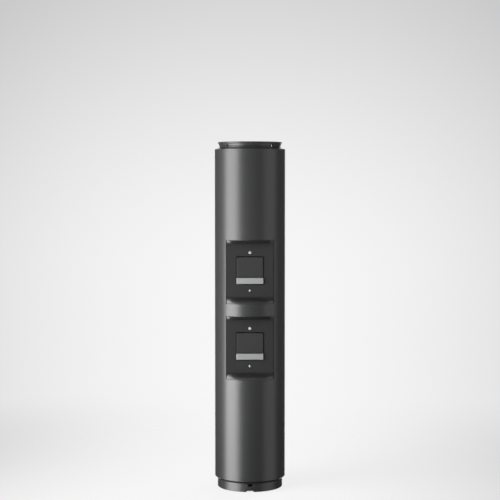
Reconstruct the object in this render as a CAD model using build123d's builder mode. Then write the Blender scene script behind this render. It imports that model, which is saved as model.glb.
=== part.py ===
from build123d import *
import os
from math import asin, cos, degrees, hypot, radians, sin, sqrt

# EV charging post: a round aluminium column module with a coupling neck at each end and two
# recessed charge points, one above the other. Millimetres, +Z up, the front faces -Y, and the
# origin is the centre of the lower neck's bottom face.

# ---- driving sizes: column ----------------------------------------------------------------
post_radius = 100.0
tube_wall = 4.0
base_neck_height = 24.0
base_collar_height = 11.0
tube_length = 925.0
top_neck_height = 22.5
shoulder_edge = 2.0
shoulder_rise = 5.0
flange_thickness = 6.0

tube_inner = post_radius - tube_wall
tube_bottom = base_neck_height + base_collar_height
tube_top = tube_bottom + tube_length
post_height = tube_top + top_neck_height

# ---- couplings ----------------------------------------------------------------------------
base_neck_radius = post_radius - 7.7
spigot_bore_radius = post_radius - 15.0
spigot_bore_depth = 14.0
neck_inner_radius = post_radius - 18.0
base_chamfer_height = 7.0
notch_width = 24.0
notch_crown = 11.0
notch_height = 5.0
access_slot_length = 17.0
access_slot_height = 7.0
access_slot_z = 19.0
access_slot_count = 4
top_waist_radius = post_radius - 12.5
top_groove_depth = 1.2
top_groove_width = 4.0
top_groove_lift = 10.0
top_rim_radius = post_radius - 9.0
top_rim_height = 3.5
under_rim_radius = post_radius - 11.2
radial_hole_radius = 4.0
radial_hole_count = 4
radial_hole_lift = 11.2
flange_width = 40.0
flange_bore_radius = tube_inner - flange_width
location_wall = 5.7
location_depth = 12.0
slip = 0.3
edge_break = 1.0

# ---- screw channels and guide rails of the extrusion ---------------------------------------
channel_inset = 22.0
channel_radius = tube_inner - channel_inset
channel_angles = (30, 150, 210, 330)
channel_boss_radius = 8.0
channel_bore_radius = 3.65
channel_rib = 5.0
rail_rib = 2.0
rail_overlap = 6.0
plate_y = tube_inner * sin(radians(channel_angles[0])) + 4.0
plate_thickness = 2.0
plate_slip = 0.3
plate_half_width = sqrt(tube_inner**2 - plate_y**2) - 4.7
rail_reach = plate_half_width - rail_overlap

# ---- axial screws, closing plates, cable gland -----------------------------------------------
screw_hole_radius = 4.5
axial_shank_radius = 3.6
axial_head_radius = 6.5
axial_head_height = 8.0
axial_screw_length = 31.0
hex_key = 6.0
small_screw_radius = 1.9
small_head_radius = 3.6
small_head_height = 2.4
small_screw_length = 8.0
bulkhead_radius = flange_bore_radius + 8.5
bulkhead_thickness = 3.0
entry_radius = 20.0
gland_bore = 13.0
gland_hex = 46.0
gland_flange = 5.0
gland_dome = 13.0
gland_nut_height = 6.0
grommet_lip = 4.0

# ---- charge points -------------------------------------------------------------------------
points_level = tube_bottom + 0.52 * tube_length
point_spacing = 213.0
charge_points = {
    "upper": points_level + point_spacing / 2,
    "lower": points_level - point_spacing / 2,
}
pocket_depth = 25.0
panel_y = post_radius - pocket_depth
window_half_width = sqrt(post_radius**2 - panel_y**2) + 0.36
window_rise = 85.0
window_drop = 93.0
window_corner = 1.3
window_lip = 0.8
pocket_gap = 0.5
panel_wall = 3.0
pocket_face_radius = post_radius - 0.5
tray_depth = 10.0
tray_side = 0.5
tray_below = 1.0
tray_above = 2.0
tray_corner = 2.0
tray_chamfer = 1.0
flange_overlap = 8.0
gasket_thickness = 2.0
gasket_slip = 0.2
frame_root = 1.8
stud_radius = 2.0
stud_angle = degrees(asin((window_half_width + 6.5) / tube_inner))
stud_length = 15.0
stud_inset_z = 10.0
stud_slip = 0.1
nut_slip = 0.2
nut_size = 7.0
nut_height = 3.2
ledge_height = 10.5
lip_height = 16.0
lip_levels = (0.0, 0.06, 0.2, 0.4, 0.6, 0.8, 1.0)
lip_curve = 1.3
ledge_sink = 0.3

# ---- socket outlet, lid and grip -------------------------------------------------------------
socket_half_width = 36.0
socket_top = 30.0
socket_bottom = 35.5
socket_flange = 4.0
cavity_radius = 29.5
cavity_flat = 20.5
cup_wall = 3.0
cup_length = 59.0
cup_rear_lip = 3.0
island_gap = 7.0
island_flat = 14.5
island_setback = 2.0
carrier_base = 6.0
contact_spots = ((-14, 0), (0, 0), (14, 0), (-8, -13.5), (8, -13.5))
signal_spots = ((-7, 9.6), (7, 9.6))
contact_radius = 3.9
contact_bore = 2.8
signal_radius = 2.4
signal_bore = 1.4
contact_length = 37.0
contact_tail = 25.0
contact_tail_radius = 2.2
contact_setback = 4.0
socket_screw_x = 31.0
socket_screw_top = 24.5
socket_screw_bottom = 28.0
socket_screw_radius = 1.9
socket_screw_head = 3.7
lid_width = 75.0
lid_height = 75.0
lid_gap = 0.3
lid_plate = 4.7
lid_pad = 3.0
lid_corner = 4.0
lid_round = 2.0
seal_width = 3.0
seal_depth = 1.7
grip_width = lid_width + 1.0
grip_height = 17.0
grip_depth = 6.0
grip_round = 1.8
grip_groove = 1.5
grip_end = 5.0
hinge_back = 3.5
hinge_drop = 3.2
hinge_skin = 1.1
pin_radius = 1.5
pin_fit = 0.05
ear_radius = 2.9
ear_inner = 18.0
ear_width = 5.0
ear_slip = 0.4
hinge_pocket = 11.6
ear_foot = 3.0
spring_turns = 6
spring_wire = 0.7
spring_pocket = 7.0

# ---- plug lock, status light and panel screw ------------------------------------------------
lock_width = 36.0
lock_height = 18.5
lock_gap = 2.0
lock_length = 38.0
bolt_radius = 2.5
bolt_setback = 27.0
bolt_length = 14.0
bolt_tip_lift = 1.0
light_z = lid_height / 2 + 12.5
light_radius = 4.0
light_dome = 2.0
light_flange = 1.5
board_width = 24.0
board_height = 11.0
board_thickness = 1.6
screw_z = -lid_height / 2 - 18.5
screw_head_radius = 3.3
screw_head_height = 2.0
screw_shank_radius = 2.0
boss_length = 8.0

# ---- equipment inside -------------------------------------------------------------------------
plate_lift = 0.3
din_lip = 1.0
din_depth = 7.5
din_height = 35.0
din_base = 27.0
din_length = 108.0
rail_levels = (tube_top - 90.0, tube_top - 190.0, tube_bottom + 215.0, tube_bottom + 95.0)
module_width = 36.0
module_height = 90.0
nose_height = 45.0
step_depth = 44.0
nose_depth = 62.0
clip_depth = 3.5
lever_width = 12.0
lever_hub = 5.0
lever_reach = 17.0
lever_thickness = 4.0
lever_angle = 27.0
lever_back = 6.0
button_size = 5.0
button_proud = 2.2
button_length = 7.0
button_slip = 0.2
button_x = 10.0
button_z = -16.0
contactor_window = (0.56, 0.27)
meter_window = (0.72, 0.36)
controller_window = (0.33, 0.53)
plate_slot = (80.0, 30.0)
terminal_lift = 27.0
terminal_x = 10.0
terminal_size = (80.0, 26.0, 32.0)
clamp_count = 5
clamp_radius = 3.5
earth_x = -44.0
earth_radius = 4.0
earth_length = 22.0


def front(depth, z=0.0):
    """Plane that faces the front, depth in front of the post's axis, centred at height z."""
    return Plane((0, -depth, z), x_dir=(1, 0, 0), z_dir=(0, -1, 0))


def side(x, z=0.0):
    """Plane that faces +X; its axes are Y and height above z."""
    return Plane((x, 0, z), x_dir=(0, 1, 0), z_dir=(1, 0, 0))


def radial(angle, radius, z):
    """Plane on a radius of the post, facing outwards."""
    a = radians(angle)
    way = (cos(a), sin(a), 0)
    return Plane((radius * way[0], radius * way[1], z), x_dir=(-way[1], way[0], 0), z_dir=way)


def polar(radius, angle):
    """Place on a circle round the post's axis, turned to look outwards."""
    a = radians(angle)
    return Location((radius * cos(a), radius * sin(a), 0), (0, 0, angle))


def on_cylinder(edge, radius):
    """True for an edge that lies all along a cylinder round the post's axis."""
    return all(abs(hypot(p.X, p.Y) - radius) < 0.01 for p in (edge @ 0, edge @ 0.5, edge @ 1))


def save(builder, label):
    """Label a finished piece and write its file."""
    builder.part.label = label
    export_step(builder.part, f"parts/{label}.step")


def hole(plane, radius, depth):
    """Drill a round hole from a plane, against its normal, in the part being built."""
    with BuildSketch(plane) as mouth:
        Circle(radius)
    extrude(mouth.sketch, amount=-depth, mode=Mode.SUBTRACT)


def d_outline(radius, flat):
    """Round outline with a flat along its top, as a charging plug has."""
    with BuildSketch(mode=Mode.PRIVATE) as outline:
        Circle(radius)
        with Locations((0, flat - radius)):
            Rectangle(2 * radius, 2 * radius, mode=Mode.INTERSECT)
    return outline.sketch


# ================================ column ======================================================
channel_places = [polar(channel_radius, angle) for angle in channel_angles]


def make_tube():
    """Extruded tube: four screw channels on ribs, two pairs of guide ribs and two windows."""
    rib_length = tube_inner + tube_wall / 2 - channel_radius
    rib_centre = channel_radius + rib_length / 2
    rib_offset = plate_thickness / 2 + plate_slip + rail_rib / 2
    with BuildPart() as tube:
        with BuildSketch(Plane.XY.offset(tube_bottom)):
            Circle(post_radius)
            Circle(tube_inner, mode=Mode.SUBTRACT)
            with Locations(*channel_places):
                Circle(channel_boss_radius)
            with Locations(*[polar(rib_centre, angle) for angle in channel_angles]):
                Rectangle(rib_length, channel_rib)
            for y in (plate_y - rib_offset, plate_y + rib_offset):
                reach = sqrt((tube_inner + tube_wall / 2) ** 2 - y**2)
                with Locations(((rail_reach + reach) / 2, y), (-(rail_reach + reach) / 2, y)):
                    Rectangle(reach - rail_reach, rail_rib)
            with Locations(*channel_places):
                Circle(channel_bore_radius, mode=Mode.SUBTRACT)
        extrude(amount=tube_length)
        for z in charge_points.values():
            middle = (window_rise - window_drop) / 2
            with BuildSketch(front(post_radius + 1, z + middle)):
                RectangleRounded(2 * window_half_width, window_rise + window_drop, window_corner)
            wall_y = sqrt(tube_inner**2 - window_half_width**2)
            extrude(amount=wall_y - post_radius - 2, mode=Mode.SUBTRACT)
        lips = tube.edges().filter_by(lambda e: on_cylinder(e, post_radius))
        ends = (tube_bottom, tube_top)
        lips = lips.filter_by(lambda e: min(abs(e.center().Z - z) for z in ends) > 1)
        fillet(lips, window_lip)
    return tube


def locating_ring_cuts(z):
    """Clear the couplings' locating ring where the extrusion's ribs and guide ribs run."""
    with BuildSketch(Plane.XY.offset(z)) as cuts:
        with Locations(*[polar(post_radius, angle) for angle in channel_angles]):
            Rectangle(post_radius / 2, channel_rib + 6)
        ribs_y = plate_y - channel_boss_radius
        with Locations((post_radius, ribs_y), (-post_radius, ribs_y)):
            Rectangle(post_radius, 4 * channel_boss_radius)
    extrude(cuts.sketch, amount=location_depth, mode=Mode.SUBTRACT)


def bulkhead_places():
    """Places of the four small screws that hold a closing plate."""
    return [polar(flange_bore_radius + 4.5, angle) for angle in (45, 135, 225, 315)]


top_flange_top = tube_top + flange_thickness
neck_foot = tube_top + shoulder_edge + shoulder_rise
groove_level = tube_top + top_groove_lift
hole_level = tube_top + radial_hole_lift
spigot_radius = tube_inner - slip
base_flange_bottom = tube_bottom - flange_thickness


def make_top_coupling():
    """Cast neck: shoulder, waist with a groove, four radial threaded holes and a rim."""
    groove = top_groove_width / 2
    with BuildPart() as coupling:
        with BuildSketch(Plane.XZ):
            with BuildLine():
                Polyline(
                    (flange_bore_radius, tube_top),
                    (spigot_radius - location_wall, tube_top),
                    (spigot_radius - location_wall, tube_top - location_depth),
                    (spigot_radius, tube_top - location_depth),
                    (spigot_radius, tube_top),
                    (post_radius, tube_top),
                    (post_radius, tube_top + shoulder_edge),
                    (top_waist_radius, neck_foot),
                    (top_waist_radius, groove_level - groove),
                    (top_waist_radius - top_groove_depth, groove_level - groove + top_groove_depth),
                    (top_waist_radius - top_groove_depth, groove_level + groove - top_groove_depth),
                    (top_waist_radius, groove_level + groove),
                    (under_rim_radius, post_height - top_rim_height - 2 * edge_break),
                    (top_rim_radius, post_height - top_rim_height),
                    (top_rim_radius, post_height - edge_break),
                    (top_rim_radius - edge_break, post_height),
                    (neck_inner_radius + edge_break, post_height),
                    (neck_inner_radius, post_height - edge_break),
                    (neck_inner_radius, top_flange_top),
                    (flange_bore_radius, top_flange_top),
                    close=True,
                )
            make_face()
        revolve(axis=Axis.Z)
        locating_ring_cuts(tube_top - location_depth)
        with BuildSketch(Plane.XY.offset(tube_top)):
            with Locations(*channel_places):
                Circle(screw_hole_radius)
            with Locations(*bulkhead_places()):
                Circle(small_screw_radius + 0.1)
        extrude(amount=flange_thickness, mode=Mode.SUBTRACT)
        for n in range(radial_hole_count):
            angle = 45 + n * 360 / radial_hole_count
            plane = radial(angle, top_rim_radius, hole_level)
            hole(plane, radial_hole_radius, top_rim_radius - neck_inner_radius + 2)
    return coupling


def make_base_coupling():
    """Cast neck and collar: bore for a spigot, index notch and radial access slots."""
    with BuildPart() as coupling:
        with BuildSketch(Plane.XZ):
            with BuildLine():
                Polyline(
                    (spigot_bore_radius + edge_break, 0),
                    (base_neck_radius - edge_break, 0),
                    (base_neck_radius, edge_break),
                    (base_neck_radius, base_neck_height),
                    (post_radius, base_neck_height + base_chamfer_height),
                    (post_radius, tube_bottom),
                    (spigot_radius, tube_bottom),
                    (spigot_radius, tube_bottom + location_depth),
                    (spigot_radius - location_wall, tube_bottom + location_depth),
                    (spigot_radius - location_wall, tube_bottom),
                    (flange_bore_radius, tube_bottom),
                    (flange_bore_radius, base_flange_bottom),
                    (neck_inner_radius, base_flange_bottom),
                    (neck_inner_radius, spigot_bore_depth),
                    (spigot_bore_radius, spigot_bore_depth),
                    (spigot_bore_radius, edge_break),
                    close=True,
                )
            make_face()
        revolve(axis=Axis.Z)
        locating_ring_cuts(tube_bottom)
        with BuildSketch(Plane.XY.offset(tube_bottom)):
            with Locations(*channel_places):
                Circle(screw_hole_radius)
            with Locations(*bulkhead_places()):
                Circle(small_screw_radius + 0.1)
        extrude(amount=-flange_thickness, mode=Mode.SUBTRACT)
        with BuildSketch(front(base_neck_radius + 1)):
            Polygon(
                (-notch_width / 2, -edge_break),
                (notch_width / 2, -edge_break),
                (notch_width / 2, 0),
                (notch_crown / 2, notch_height),
                (-notch_crown / 2, notch_height),
                (-notch_width / 2, 0),
                align=None,
            )
        extrude(amount=neck_inner_radius - 10 - base_neck_radius, mode=Mode.SUBTRACT)
        for n in range(access_slot_count):
            with BuildSketch(radial(270 + n * 360 / access_slot_count, post_radius, access_slot_z)):
                SlotOverall(access_slot_length, access_slot_height)
            extrude(amount=neck_inner_radius - 4 - post_radius, mode=Mode.SUBTRACT)
    return coupling


def make_axial_screws(seat_z, way):
    """Four socket head screws into the channels; way is +1 when the heads are on top."""
    with BuildPart() as screws:
        with BuildSketch(Plane.XY.offset(seat_z)):
            with Locations(*channel_places):
                Circle(axial_head_radius)
        extrude(amount=way * axial_head_height)
        with BuildSketch(Plane.XY.offset(seat_z)):
            with Locations(*channel_places):
                Circle(axial_shank_radius)
        extrude(amount=-way * axial_screw_length)
        with BuildSketch(Plane.XY.offset(seat_z + way * axial_head_height)):
            with Locations(*channel_places):
                RegularPolygon(hex_key / 2, 6, major_radius=False)
        extrude(amount=-way * axial_head_height / 2, mode=Mode.SUBTRACT)
    return screws


def make_bulkhead(seat_z):
    """Round closing plate with a central entry hole and four screw holes."""
    with BuildPart() as bulkhead:
        with BuildSketch(Plane.XY.offset(seat_z)):
            Circle(bulkhead_radius)
            Circle(entry_radius, mode=Mode.SUBTRACT)
            with Locations(*bulkhead_places()):
                Circle(small_screw_radius + 0.1, mode=Mode.SUBTRACT)
        extrude(amount=bulkhead_thickness)
    return bulkhead


def make_bulkhead_screws():
    """Small screws of both closing plates."""
    with BuildPart() as screws:
        for seat in (top_flange_top + bulkhead_thickness, tube_bottom + bulkhead_thickness):
            with BuildSketch(Plane.XY.offset(seat)):
                with Locations(*bulkhead_places()):
                    Circle(small_head_radius)
            extrude(amount=small_head_height)
            with BuildSketch(Plane.XY.offset(seat)):
                with Locations(*bulkhead_places()):
                    Circle(small_screw_radius)
            extrude(amount=-small_screw_length)
    return screws


def make_grommet():
    """Rubber blanking grommet in the top closing plate."""
    seat = top_flange_top
    top = seat + bulkhead_thickness
    with BuildPart() as grommet:
        with BuildSketch(Plane.XZ):
            with BuildLine():
                Polyline(
                    (0, seat - grommet_lip),
                    (entry_radius + grommet_lip / 2, seat - grommet_lip),
                    (entry_radius + grommet_lip, seat),
                    (entry_radius, seat),
                    (entry_radius, top),
                    (entry_radius + grommet_lip, top),
                    (entry_radius + grommet_lip, top + grommet_lip / 2),
                    (entry_radius, top + grommet_lip),
                    (0, top + grommet_lip / 2),
                    close=True,
                )
            make_face()
        revolve(axis=Axis.Z)
    return grommet


def make_gland():
    """Cable gland below the lower closing plate, with its lock nut above it."""
    neck_top = tube_bottom + bulkhead_thickness + gland_nut_height + 2
    dome_bottom = tube_bottom - gland_flange - gland_dome
    with BuildPart() as gland:
        with BuildSketch(Plane.XY.offset(tube_bottom)):
            RegularPolygon(gland_hex / 2, 6, major_radius=False)
        extrude(amount=-gland_flange)
        with BuildSketch(Plane.XY.offset(tube_bottom)):
            Circle(entry_radius - 0.2)
        extrude(amount=neck_top - tube_bottom)
        with BuildSketch(Plane.XZ):
            with BuildLine():
                Polyline(
                    (gland_bore, dome_bottom),
                    (gland_bore + 5, dome_bottom),
                    (gland_hex / 2, dome_bottom + 5),
                    (gland_hex / 2, tube_bottom - gland_flange),
                    (gland_bore, tube_bottom - gland_flange),
                    close=True,
                )
            make_face()
        revolve(axis=Axis.Z)
        with BuildSketch(Plane.XY.offset(dome_bottom)):
            Circle(gland_bore)
        extrude(amount=neck_top - dome_bottom, mode=Mode.SUBTRACT)
    with BuildPart() as nut:
        with BuildSketch(Plane.XY.offset(tube_bottom + bulkhead_thickness)):
            RegularPolygon(gland_hex / 2, 6, major_radius=False)
            Circle(entry_radius, mode=Mode.SUBTRACT)
        extrude(amount=gland_nut_height)
    return gland, nut


# ================================ charge point ================================================
pocket_half_width = window_half_width - pocket_gap
pocket_rise = window_rise - pocket_gap
pocket_drop = window_drop - pocket_gap
gasket_inner = tube_inner - gasket_thickness
frame_half_width = window_half_width + flange_overlap
frame_rise = window_rise + flange_overlap
frame_drop = window_drop + flange_overlap
tray_floor = panel_y - tray_depth
tray_half_width = grip_width / 2 + tray_side
tray_rise = lid_height / 2 + tray_above
tray_drop = lid_height / 2 + tray_below


def curved_frame(outer, thickness, half_width, rise, drop, margin, z):
    """Rectangular frame bent to the inside of the tube; margin is the width of its border."""
    with BuildPart() as frame:
        with BuildSketch(Plane.XY.offset(z - drop)):
            Circle(outer)
            Circle(outer - thickness, mode=Mode.SUBTRACT)
            with Locations((0, -post_radius)):
                Rectangle(2 * half_width, 2 * post_radius, mode=Mode.INTERSECT)
        extrude(amount=rise + drop)
        with BuildSketch(front(post_radius, z + (rise - drop) / 2)):
            Rectangle(2 * (half_width - margin), rise + drop - 2 * margin)
        extrude(amount=-post_radius, mode=Mode.SUBTRACT)
    return frame


def stud_planes(z, radius):
    """Radial planes of the four welded studs round one window."""
    spots = []
    for angle in (270 - stud_angle, 270 + stud_angle):
        for height in (window_rise - stud_inset_z, stud_inset_z - window_drop):
            spots.append(radial(angle, radius, z + height))
    return spots


def ledge_section(level, share, wall=0.0):
    """Plan outline of a ledge at one level, from behind the panel out to its front.

    A share of 1 follows the tube's arc and 0 is flat; wall draws the outline in and back.
    """
    half = pocket_half_width - wall
    foot = panel_y - ledge_sink
    side_y, centre_y = (
        foot + share * (sqrt(pocket_face_radius**2 - x**2) - foot) - wall for x in (half, 0)
    )
    back_y = panel_y - panel_wall - 2 * wall
    with BuildSketch(Plane.XY.offset(level)) as section:
        with BuildLine():
            Polyline((-half, -side_y), (-half, -back_y), (half, -back_y), (half, -side_y))
            ThreePointArc((half, -side_y), (0, -centre_y), (-half, -side_y))
        make_face()
    return section.sketch


def make_ledges(z):
    """Straight upper ledge and rounded lower lip, each from a line on the panel to the tube."""
    top = z + pocket_rise
    bottom = z - pocket_drop
    flat = 0.01
    lip = [(level * lip_height, max(flat, 1 - level**lip_curve)) for level in lip_levels]
    with BuildPart() as ledges:
        loft([ledge_section(top - ledge_height, flat), ledge_section(top, 1)], ruled=True)
        loft([ledge_section(bottom + height, share) for height, share in lip])
    with BuildPart() as hollows:
        lift = top + panel_wall
        wall = panel_wall
        loft([ledge_section(lift - ledge_height, flat, wall), ledge_section(lift, 1, wall)], ruled=True)
        drop = bottom - panel_wall
        loft([ledge_section(drop + height, share, wall) for height, share in lip])
    return ledges.part - hollows.part


def is_tray_mouth(edge, z):
    """True for an edge of the tray's mouth in the panel of the insert at height z."""
    spots = (edge @ 0, edge @ 0.5, edge @ 1)
    in_panel = all(abs(p.Y + panel_y) < 0.01 for p in spots)
    return in_panel and all(
        abs(p.X) < tray_half_width + 0.1 and -tray_drop - 0.1 < p.Z - z < tray_rise + 0.1
        for p in spots
    )


def make_pocket(z):
    """Recess insert: flat panel with a tray for the socket, returns, ledges and a rear flange."""
    ledges = make_ledges(z)
    margin = flange_overlap + pocket_gap + frame_root
    flange_radius = gasket_inner - gasket_slip
    frame = curved_frame(
        flange_radius, panel_wall, frame_half_width, frame_rise, frame_drop, margin, z
    )
    return_y = sqrt((flange_radius - panel_wall) ** 2 - pocket_half_width**2)
    with BuildPart() as pocket:
        add(ledges)
        add(frame.part)
        panel_top = pocket_rise - ledge_height + panel_wall
        panel_bottom = pocket_drop - lip_height + panel_wall
        with BuildSketch(front(panel_y, z + (panel_top - panel_bottom) / 2)):
            Rectangle(2 * pocket_half_width, panel_top + panel_bottom)
        extrude(amount=-panel_wall)
        with BuildSketch(front(panel_y, z + (pocket_rise - pocket_drop) / 2)):
            Rectangle(2 * pocket_half_width, pocket_rise + pocket_drop)
            Rectangle(2 * (pocket_half_width - panel_wall), post_height, mode=Mode.SUBTRACT)
        extrude(amount=return_y - panel_y)
        tray_middle = z + (tray_rise - tray_drop) / 2
        outer = (2 * (tray_half_width + panel_wall), tray_rise + tray_drop + 2 * panel_wall)
        with BuildSketch(front(panel_y, tray_middle)):
            RectangleRounded(*outer, tray_corner + panel_wall)
        extrude(amount=-tray_depth - panel_wall)
        with BuildSketch(front(panel_y, tray_middle)):
            RectangleRounded(2 * tray_half_width, tray_rise + tray_drop, tray_corner)
        extrude(amount=-tray_depth, mode=Mode.SUBTRACT)
        chamfer(pocket.edges().filter_by(lambda e: is_tray_mouth(e, z)), tray_chamfer)
        with BuildSketch(front(tray_floor - panel_wall, z)):
            with Locations(*socket_screw_places):
                Circle(2 * socket_screw_radius + 0.7)
        extrude(amount=-boss_length)
        with BuildSketch(front(panel_y - panel_wall, z)):
            with Locations((0, screw_z)):
                Circle(2 * screw_shank_radius + 1)
        extrude(amount=-boss_length)
        with BuildSketch(front(panel_y - panel_wall, z)):
            with Locations((board_width / 2 - 3, light_z), (3 - board_width / 2, light_z)):
                Circle(2.5)
        extrude(amount=-light_flange)
        hole(front(tray_floor, z), cavity_radius + cup_wall + 1, panel_wall)
        hole(front(panel_y, z + light_z), light_radius + 0.1, panel_wall)
        hole(front(panel_y, z + screw_z), screw_shank_radius + 0.1, panel_wall + boss_length)
        with BuildSketch(front(tray_floor, z)):
            with Locations(*socket_screw_places):
                Circle(socket_screw_radius + 0.1)
        extrude(amount=-panel_wall - boss_length, mode=Mode.SUBTRACT)
        for plane in stud_planes(z, tube_inner):
            hole(plane, stud_radius + 0.4, 2 * panel_wall + gasket_thickness)
    return pocket


def make_gaskets():
    """Flat seals between both inserts' flanges and the tube."""
    gaskets = []
    for z in charge_points.values():
        frame = curved_frame(
            tube_inner - gasket_slip,
            gasket_thickness - 2 * gasket_slip,
            frame_half_width,
            frame_rise,
            frame_drop,
            flange_overlap - 1,
            z,
        )
        with BuildPart() as gasket:
            add(frame.part)
            for plane in stud_planes(z, tube_inner):
                hole(plane, stud_radius + 0.4, gasket_thickness)
        gaskets.append(gasket.part)
    return gaskets


def make_insert_fixings():
    """Welded studs on the tube's inside and the nuts that pull the inserts' flanges to it."""
    seat = gasket_inner - gasket_slip - panel_wall
    with BuildPart() as fixings:
        for z in charge_points.values():
            for plane in stud_planes(z, tube_inner - stud_slip):
                with BuildSketch(plane):
                    Circle(stud_radius)
                extrude(amount=-stud_length)
    with BuildPart() as nuts:
        for z in charge_points.values():
            for plane in stud_planes(z, seat - nut_slip):
                with BuildSketch(plane):
                    RegularPolygon(nut_size / 2, 6, major_radius=False)
                    Circle(stud_radius + 0.05, mode=Mode.SUBTRACT)
                extrude(amount=-nut_height)
    return fixings, nuts


socket_front = tray_floor + socket_flange
lid_back = socket_front + lid_gap
lid_face = lid_back + lid_plate
lid_front = lid_face + lid_pad
hinge_y = lid_back + hinge_back
hinge_z = lid_height / 2 - hinge_drop
cup_rear = socket_front - cup_length
carrier_rear = cup_rear + cup_rear_lip
bolt_y = socket_front - bolt_setback
lock_front = tray_floor - panel_wall - lock_gap
grip_top = grip_height - lid_height / 2
socket_screw_places = [
    (x, z)
    for x in (-socket_screw_x, socket_screw_x)
    for z in (socket_screw_top, -socket_screw_bottom)
]


def make_socket(z):
    """Socket outlet body: flange, flat-topped cup, rear lip and two hinge ears."""
    with BuildPart() as socket:
        with BuildSketch(front(tray_floor, z + (socket_top - socket_bottom) / 2)):
            RectangleRounded(2 * socket_half_width, socket_top + socket_bottom, lid_corner)
        extrude(amount=socket_flange)
        with BuildSketch(front(socket_front, z)):
            add(d_outline(cavity_radius + cup_wall, cavity_flat + cup_wall))
        extrude(amount=-cup_length)
        for x in (ear_inner, -ear_inner - ear_width):
            with BuildSketch(side(x, z)):
                Polygon(
                    (-tray_floor, socket_top - ear_foot),
                    (-socket_front - 1, socket_top - ear_foot),
                    (-hinge_y - ear_radius, hinge_z),
                    (-hinge_y + ear_radius, hinge_z),
                    (-tray_floor, socket_top),
                    align=None,
                )
                with Locations((-hinge_y, hinge_z)):
                    Circle(ear_radius)
            extrude(amount=ear_width)
        with BuildSketch(front(socket_front, z)):
            add(d_outline(cavity_radius, cavity_flat))
        extrude(amount=carrier_rear - socket_front, mode=Mode.SUBTRACT)
        with BuildSketch(front(socket_front, z)):
            add(d_outline(cavity_radius - cup_rear_lip, cavity_flat - cup_rear_lip))
        extrude(amount=-cup_length, mode=Mode.SUBTRACT)
        with BuildSketch(side(-socket_half_width, z)):
            with Locations((-hinge_y, hinge_z)):
                Circle(pin_radius + pin_fit)
        extrude(amount=2 * socket_half_width, mode=Mode.SUBTRACT)
        with BuildSketch(Plane((0, -bolt_y, z))):
            Circle(bolt_radius + 0.1)
        extrude(amount=cavity_radius + cup_wall, mode=Mode.SUBTRACT)
        with BuildSketch(front(socket_front, z)):
            with Locations(*socket_screw_places):
                Circle(socket_screw_radius + 0.1)
        extrude(amount=-socket_flange, mode=Mode.SUBTRACT)
        with BuildSketch(front(socket_front, z)):
            with Locations(*socket_screw_places):
                Circle(socket_screw_head + 0.2)
        extrude(amount=-socket_flange / 2, mode=Mode.SUBTRACT)
    return socket


def make_socket_screws(z):
    """Four pan head screws, sunk in the socket's flange."""
    seat = socket_front - socket_flange / 2
    with BuildPart() as screws:
        with BuildSketch(front(seat, z)):
            with Locations(*socket_screw_places):
                Circle(socket_screw_head)
        extrude(amount=socket_flange / 2 - 0.2)
        with BuildSketch(front(seat, z)):
            with Locations(*socket_screw_places):
                Circle(socket_screw_radius)
        extrude(amount=-socket_flange / 2 - panel_wall - boss_length + 1)
        with BuildSketch(front(socket_front, z)):
            with Locations(*socket_screw_places):
                RegularPolygon(1.5, 6, major_radius=False)
        extrude(amount=-1.4, mode=Mode.SUBTRACT)
    return screws


def make_carrier(z):
    """Insulating island with seven contact holes, on a base that closes the cup."""
    face = socket_front - island_setback
    sleeve_start = face - contact_setback
    with BuildPart() as carrier:
        with BuildSketch(front(face, z)):
            add(d_outline(cavity_radius - island_gap, island_flat))
        extrude(amount=carrier_rear - face)
        with BuildSketch(front(carrier_rear, z)):
            add(d_outline(cavity_radius - 0.2, cavity_flat - 0.2))
        extrude(amount=carrier_base)
        for spots, radius, mouth in (
            (contact_spots, contact_radius, contact_bore),
            (signal_spots, signal_radius, signal_bore),
        ):
            with BuildSketch(front(face, z)):
                with Locations(*spots):
                    Circle(mouth + 0.7)
            extrude(amount=-contact_setback, mode=Mode.SUBTRACT)
            with BuildSketch(front(sleeve_start, z)):
                with Locations(*spots):
                    Circle(radius + 0.1)
            extrude(amount=carrier_rear - sleeve_start, mode=Mode.SUBTRACT)
    return carrier


def make_contacts(z):
    """Seven contact sleeves with their tails."""
    start = socket_front - island_setback - contact_setback
    sleeve_end = start - contact_length
    with BuildPart() as contacts:
        for spots, radius, bore in (
            (contact_spots, contact_radius, contact_bore),
            (signal_spots, signal_radius, signal_bore),
        ):
            with BuildSketch(front(start, z)):
                with Locations(*spots):
                    Circle(radius)
            extrude(amount=-contact_length)
            with BuildSketch(front(start, z)):
                with Locations(*spots):
                    Circle(bore)
            extrude(amount=-contact_length * 0.8, mode=Mode.SUBTRACT)
            with BuildSketch(front(sleeve_end, z)):
                with Locations(*spots):
                    Circle(min(radius, contact_tail_radius))
            extrude(amount=-contact_tail)
    return contacts


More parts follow.
